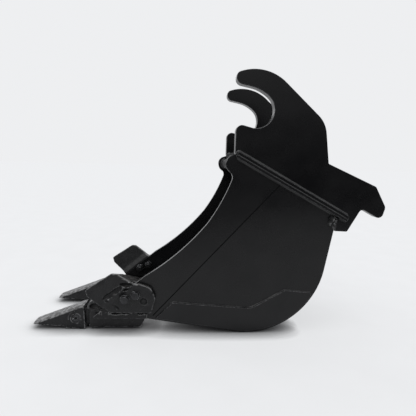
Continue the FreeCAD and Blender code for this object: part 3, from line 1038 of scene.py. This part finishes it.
SHAVE_AT = (-0.600, 0.0610)             # x and z where the plane meets a tip's cheek
SHAVE_SLOPE = (-0.39, 0.35)             # how far the plane leans forward and sideways


def shave_ridge(bm, cheek, out):
    """Cuts the ridge between a tip's top and one cheek by a plane along its slope."""
    normal = Vector((SHAVE_SLOPE[0], out.y * SHAVE_SLOPE[1], 1.0)).normalized()
    place = Vector((SHAVE_AT[0], cheek, SHAVE_AT[1]))
    geometry = bm.verts[:] + bm.edges[:] + bm.faces[:]
    made = bmesh.ops.bisect_plane(bm, geom=geometry, plane_co=place, plane_no=normal, clear_outer=True)
    edges = [e for e in made["geom_cut"] if isinstance(e, bmesh.types.BMEdge)]
    bmesh.ops.holes_fill(bm, edges=edges, sides=0)


PIN_BOSS = 19.5 * MM                    # round the lock pin the casting stays as the CAD has it
ADAPTER_RING = (-0.4555, 0.0985)        # x and z of its centre
ADAPTER_POCKET = (-0.4585, 0.0985)
ADAPTER_LUMP = (-0.430, 0.0735)


def add_teeth():
    for side, sign in SIDES:
        out = OUTWARD[side]
        pin_low, pin_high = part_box("lock_pin_" + side)
        pin = (pin_low + pin_high) / 2
        tip_low, tip_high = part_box("tooth_tip_" + side)
        low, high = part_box("tooth_adapter_" + side)
        cheek, other = (tip_low.y, tip_high.y) if sign < 0 else (tip_high.y, tip_low.y)
        face = low.y if sign < 0 else high.y

        def near_pin(p, pin=pin):
            return math.hypot(p.x - pin.x, p.z - pin.z) < PIN_BOSS

        def tip_marks(bm, centre=at_y(pin, cheek)):
            add_ring(bm, centre, 22 * MM, 22 * MM, 2.4 * MM)
            add_ring(bm, centre, 31 * MM, 31 * MM, 2.4 * MM, first=98, sweep=92)

        def tip_shave(bm, cheek=cheek, other=other, out=out):
            shave_ridge(bm, cheek, out)
            shave_ridge(bm, other, -out)

        def on_face(place, face=face):
            return Vector((place[0], face, place[1]))

        def adapter_marks(bm, on_face=on_face):
            add_ring(bm, on_face(ADAPTER_RING), 29 * MM, 19 * MM, 5.0 * MM)
            add_lens(bm, on_face(ADAPTER_LUMP), tilted(20), (9 * MM, 4 * MM, 5 * MM))

        def adapter_pockets(bm, on_face=on_face):
            add_lens(bm, on_face(ADAPTER_POCKET), tilted(0), (21 * MM, 10 * MM, 12 * MM))

        cast("tooth_tip_" + side, tip_marks, lambda bm: None, 1.3 + sign, near_pin, tip_shave)
        cast("tooth_adapter_" + side, adapter_marks, adapter_pockets, 4.1 + sign, near_pin)


# Oval pockets in the cutter's face: x, distance out from the side plate and z of the centre, the three
# half sizes in mm, and the tilt in degrees.
CUTTER_POCKETS = (
    ((-312, 35, 211), (33, 17, 9.5), 8),
    ((-322, 24, 190), (13, 8, 4.5), -4),
)
# Creases in it: the same three places for each point, then half the width.
CUTTER_CREASES = (
    (((-402, 36, 157), (-374, 36, 176), (-342, 35, 199)), 11),
    (((-400, 35, 150), (-384, 31, 138), (-368, 23, 124), (-348, 22, 108)), 5.5),
)


def add_cutters():
    for side, sign in SIDES:
        out = OUTWARD[side]
        low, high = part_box("side_cutter_" + side)
        plate_y = high.y if sign < 0 else low.y

        def pockets(bm, plate_y=plate_y, out=out):
            def at(x, y, z):
                return Vector((x * MM, plate_y + out.y * y * MM, z * MM))

            for centre, half, tilt in CUTTER_POCKETS:
                add_lens(bm, at(*centre), tilted(tilt), [size * MM for size in half])
            for groove, half in CUTTER_CREASES:
                add_groove(bm, [at(*point) for point in groove], half * MM)

        cast("side_cutter_" + side, lambda bm: None, pockets, 7.7 + sign)


# ---- bolts and nuts ----
BOLT_HEAD = 12.5 * MM
BOLT_RADIUS = 10.0 * MM
BOLT_CHAMFER, NUT_CHAMFER = 2.6 * MM, 2.4 * MM
THREAD_PITCH, THREAD_DEPTH = 2.5 * MM, 1.3 * MM
THREADS = 9                  # modelled near the end of a bolt
ROUND = 48                   # points round a bolt
BOLT_TURNS = (17, 26)        # degrees: how far the first one ended up turned, and each next one more
NUT_TURNS = (8, 31)


def islands(node):
    """Boxes of a node's separate solids."""
    bm = clean(node)
    left = set(bm.verts)
    boxes = []
    while left:
        group, queue = [], [left.pop()]
        while queue:
            v = queue.pop()
            group.append(v.co)
            for e in v.link_edges:
                other = e.other_vert(v)
                if other in left:
                    left.remove(other)
                    queue.append(other)
        boxes.append((Vector([min(p[i] for p in group) for i in range(3)]),
                      Vector([max(p[i] for p in group) for i in range(3)])))
    bm.free()
    return sorted(boxes, key=lambda b: (b[0].x, b[0].y))


def hex_radius(across, angle):
    return across / 2 / math.cos((angle % (math.pi / 3)) - math.pi / 6)


def ring_of(bm, centre, y, radius, across=None, turn=0.0):
    """Points round an axis along Y, on a circle or on a hexagon cut by that circle."""
    ring = []
    for k in range(ROUND):
        a = 2 * math.pi * k / ROUND
        r = min(radius, hex_radius(across, a)) if across else radius
        x = centre.x + r * math.cos(a + turn)
        z = centre.z + r * math.sin(a + turn)
        ring.append(bm.verts.new(Vector((x, y, z))))
    return ring


def bridge(bm, rings, closed):
    for ring, after in zip(rings, rings[1:] + (rings[:1] if closed else [])):
        for k in range(ROUND):
            m = (k + 1) % ROUND
            bm.faces.new((ring[k], ring[m], after[m], after[k]))
    if not closed:
        bm.faces.new(rings[0][::-1])
        bm.faces.new(rings[-1])


def hex_levels(across, height, chamfer):
    """Distance and limiting radius down a hexagon whose first end has a turned chamfer."""
    corner = across / math.sqrt(3)
    flat = 0.475 * across
    levels = [(0.0, flat)]
    for k in range(1, 5):
        levels.append((chamfer * k / 4, flat + (corner - flat) * k / 4))
    levels.append((height, corner))
    return levels


def bolt_rings(bm, low, high, outward, turn):
    """Rings down a bolt from the dent in its head to the end of its thread."""
    centre = (low + high) / 2
    across = high.z - low.z
    face, end = (low.y, high.y) if outward < 0 else (high.y, low.y)
    rings = [ring_of(bm, centre, face - outward * 0.4 * MM, 0.36 * across)]
    for down, radius in hex_levels(across, BOLT_HEAD, BOLT_CHAMFER):
        rings.append(ring_of(bm, centre, face - outward * down, radius, across, turn))
    rings.append(ring_of(bm, centre, face - outward * BOLT_HEAD, BOLT_RADIUS))
    first = end + outward * (THREADS + 0.8) * THREAD_PITCH
    for k in range(THREADS):
        y = first - outward * k * THREAD_PITCH
        rings.append(ring_of(bm, centre, y, BOLT_RADIUS - 0.1 * MM))
        rings.append(ring_of(bm, centre, y - outward * THREAD_PITCH / 2, BOLT_RADIUS - THREAD_DEPTH))
    rings.append(ring_of(bm, centre, end + outward * 1.0 * MM, BOLT_RADIUS - 0.2 * MM))
    rings.append(ring_of(bm, centre, end, BOLT_RADIUS - 1.6 * MM))
    return rings


def nut_rings(bm, low, high, outward, turn):
    """Rings down the outside of a nut from its free face, and back through its bore."""
    centre = (low + high) / 2
    across = high.z - low.z
    face, base = (high.y, low.y) if outward < 0 else (low.y, high.y)
    rings = [ring_of(bm, centre, face + outward * down, radius, across, turn)
             for down, radius in hex_levels(across, abs(face - base), NUT_CHAMFER)]
    rings.append(ring_of(bm, centre, base, BOLT_RADIUS))
    rings.append(ring_of(bm, centre, face + outward * 1.0 * MM, BOLT_RADIUS))
    rings.append(ring_of(bm, centre, face, BOLT_RADIUS + 1.0 * MM))
    return rings


def add_bolts():
    kinds = (("cutter_bolts_", bolt_rings, BOLT_TURNS, False), ("cutter_nuts_", nut_rings, NUT_TURNS, True))
    for side, sign in SIDES:
        for kind, rings_of, (turned, more), bored in kinds:
            node = kind + side
            bm = bmesh.new()
            for i, (low, high) in enumerate(islands(node)):
                bridge(bm, rings_of(bm, low, high, sign, math.radians(turned + more * i)), bored)
            bmesh.ops.recalc_face_normals(bm, faces=bm.faces)
            show(node + "_finished", bm, "bolt_steel", replaced=node, smooth_deg=22)


# ---- main ----
bpy.context.scene.view_settings.view_transform = "Standard"
add_camera()
add_world()
add_floor()
add_sun("key", strength=0.9, angle=40, travel=(0.30, 0.35, -1.0))
add_plates()
add_teeth()
add_cutters()
add_bolts()
weld_folds()
weld_hooks()
weld_sides_to_deck()
weld_tube()
weld_shell()
weld_hook_tails()
weld_strips()
weld_wear_plates()
weld_lip()
weld_adapters()
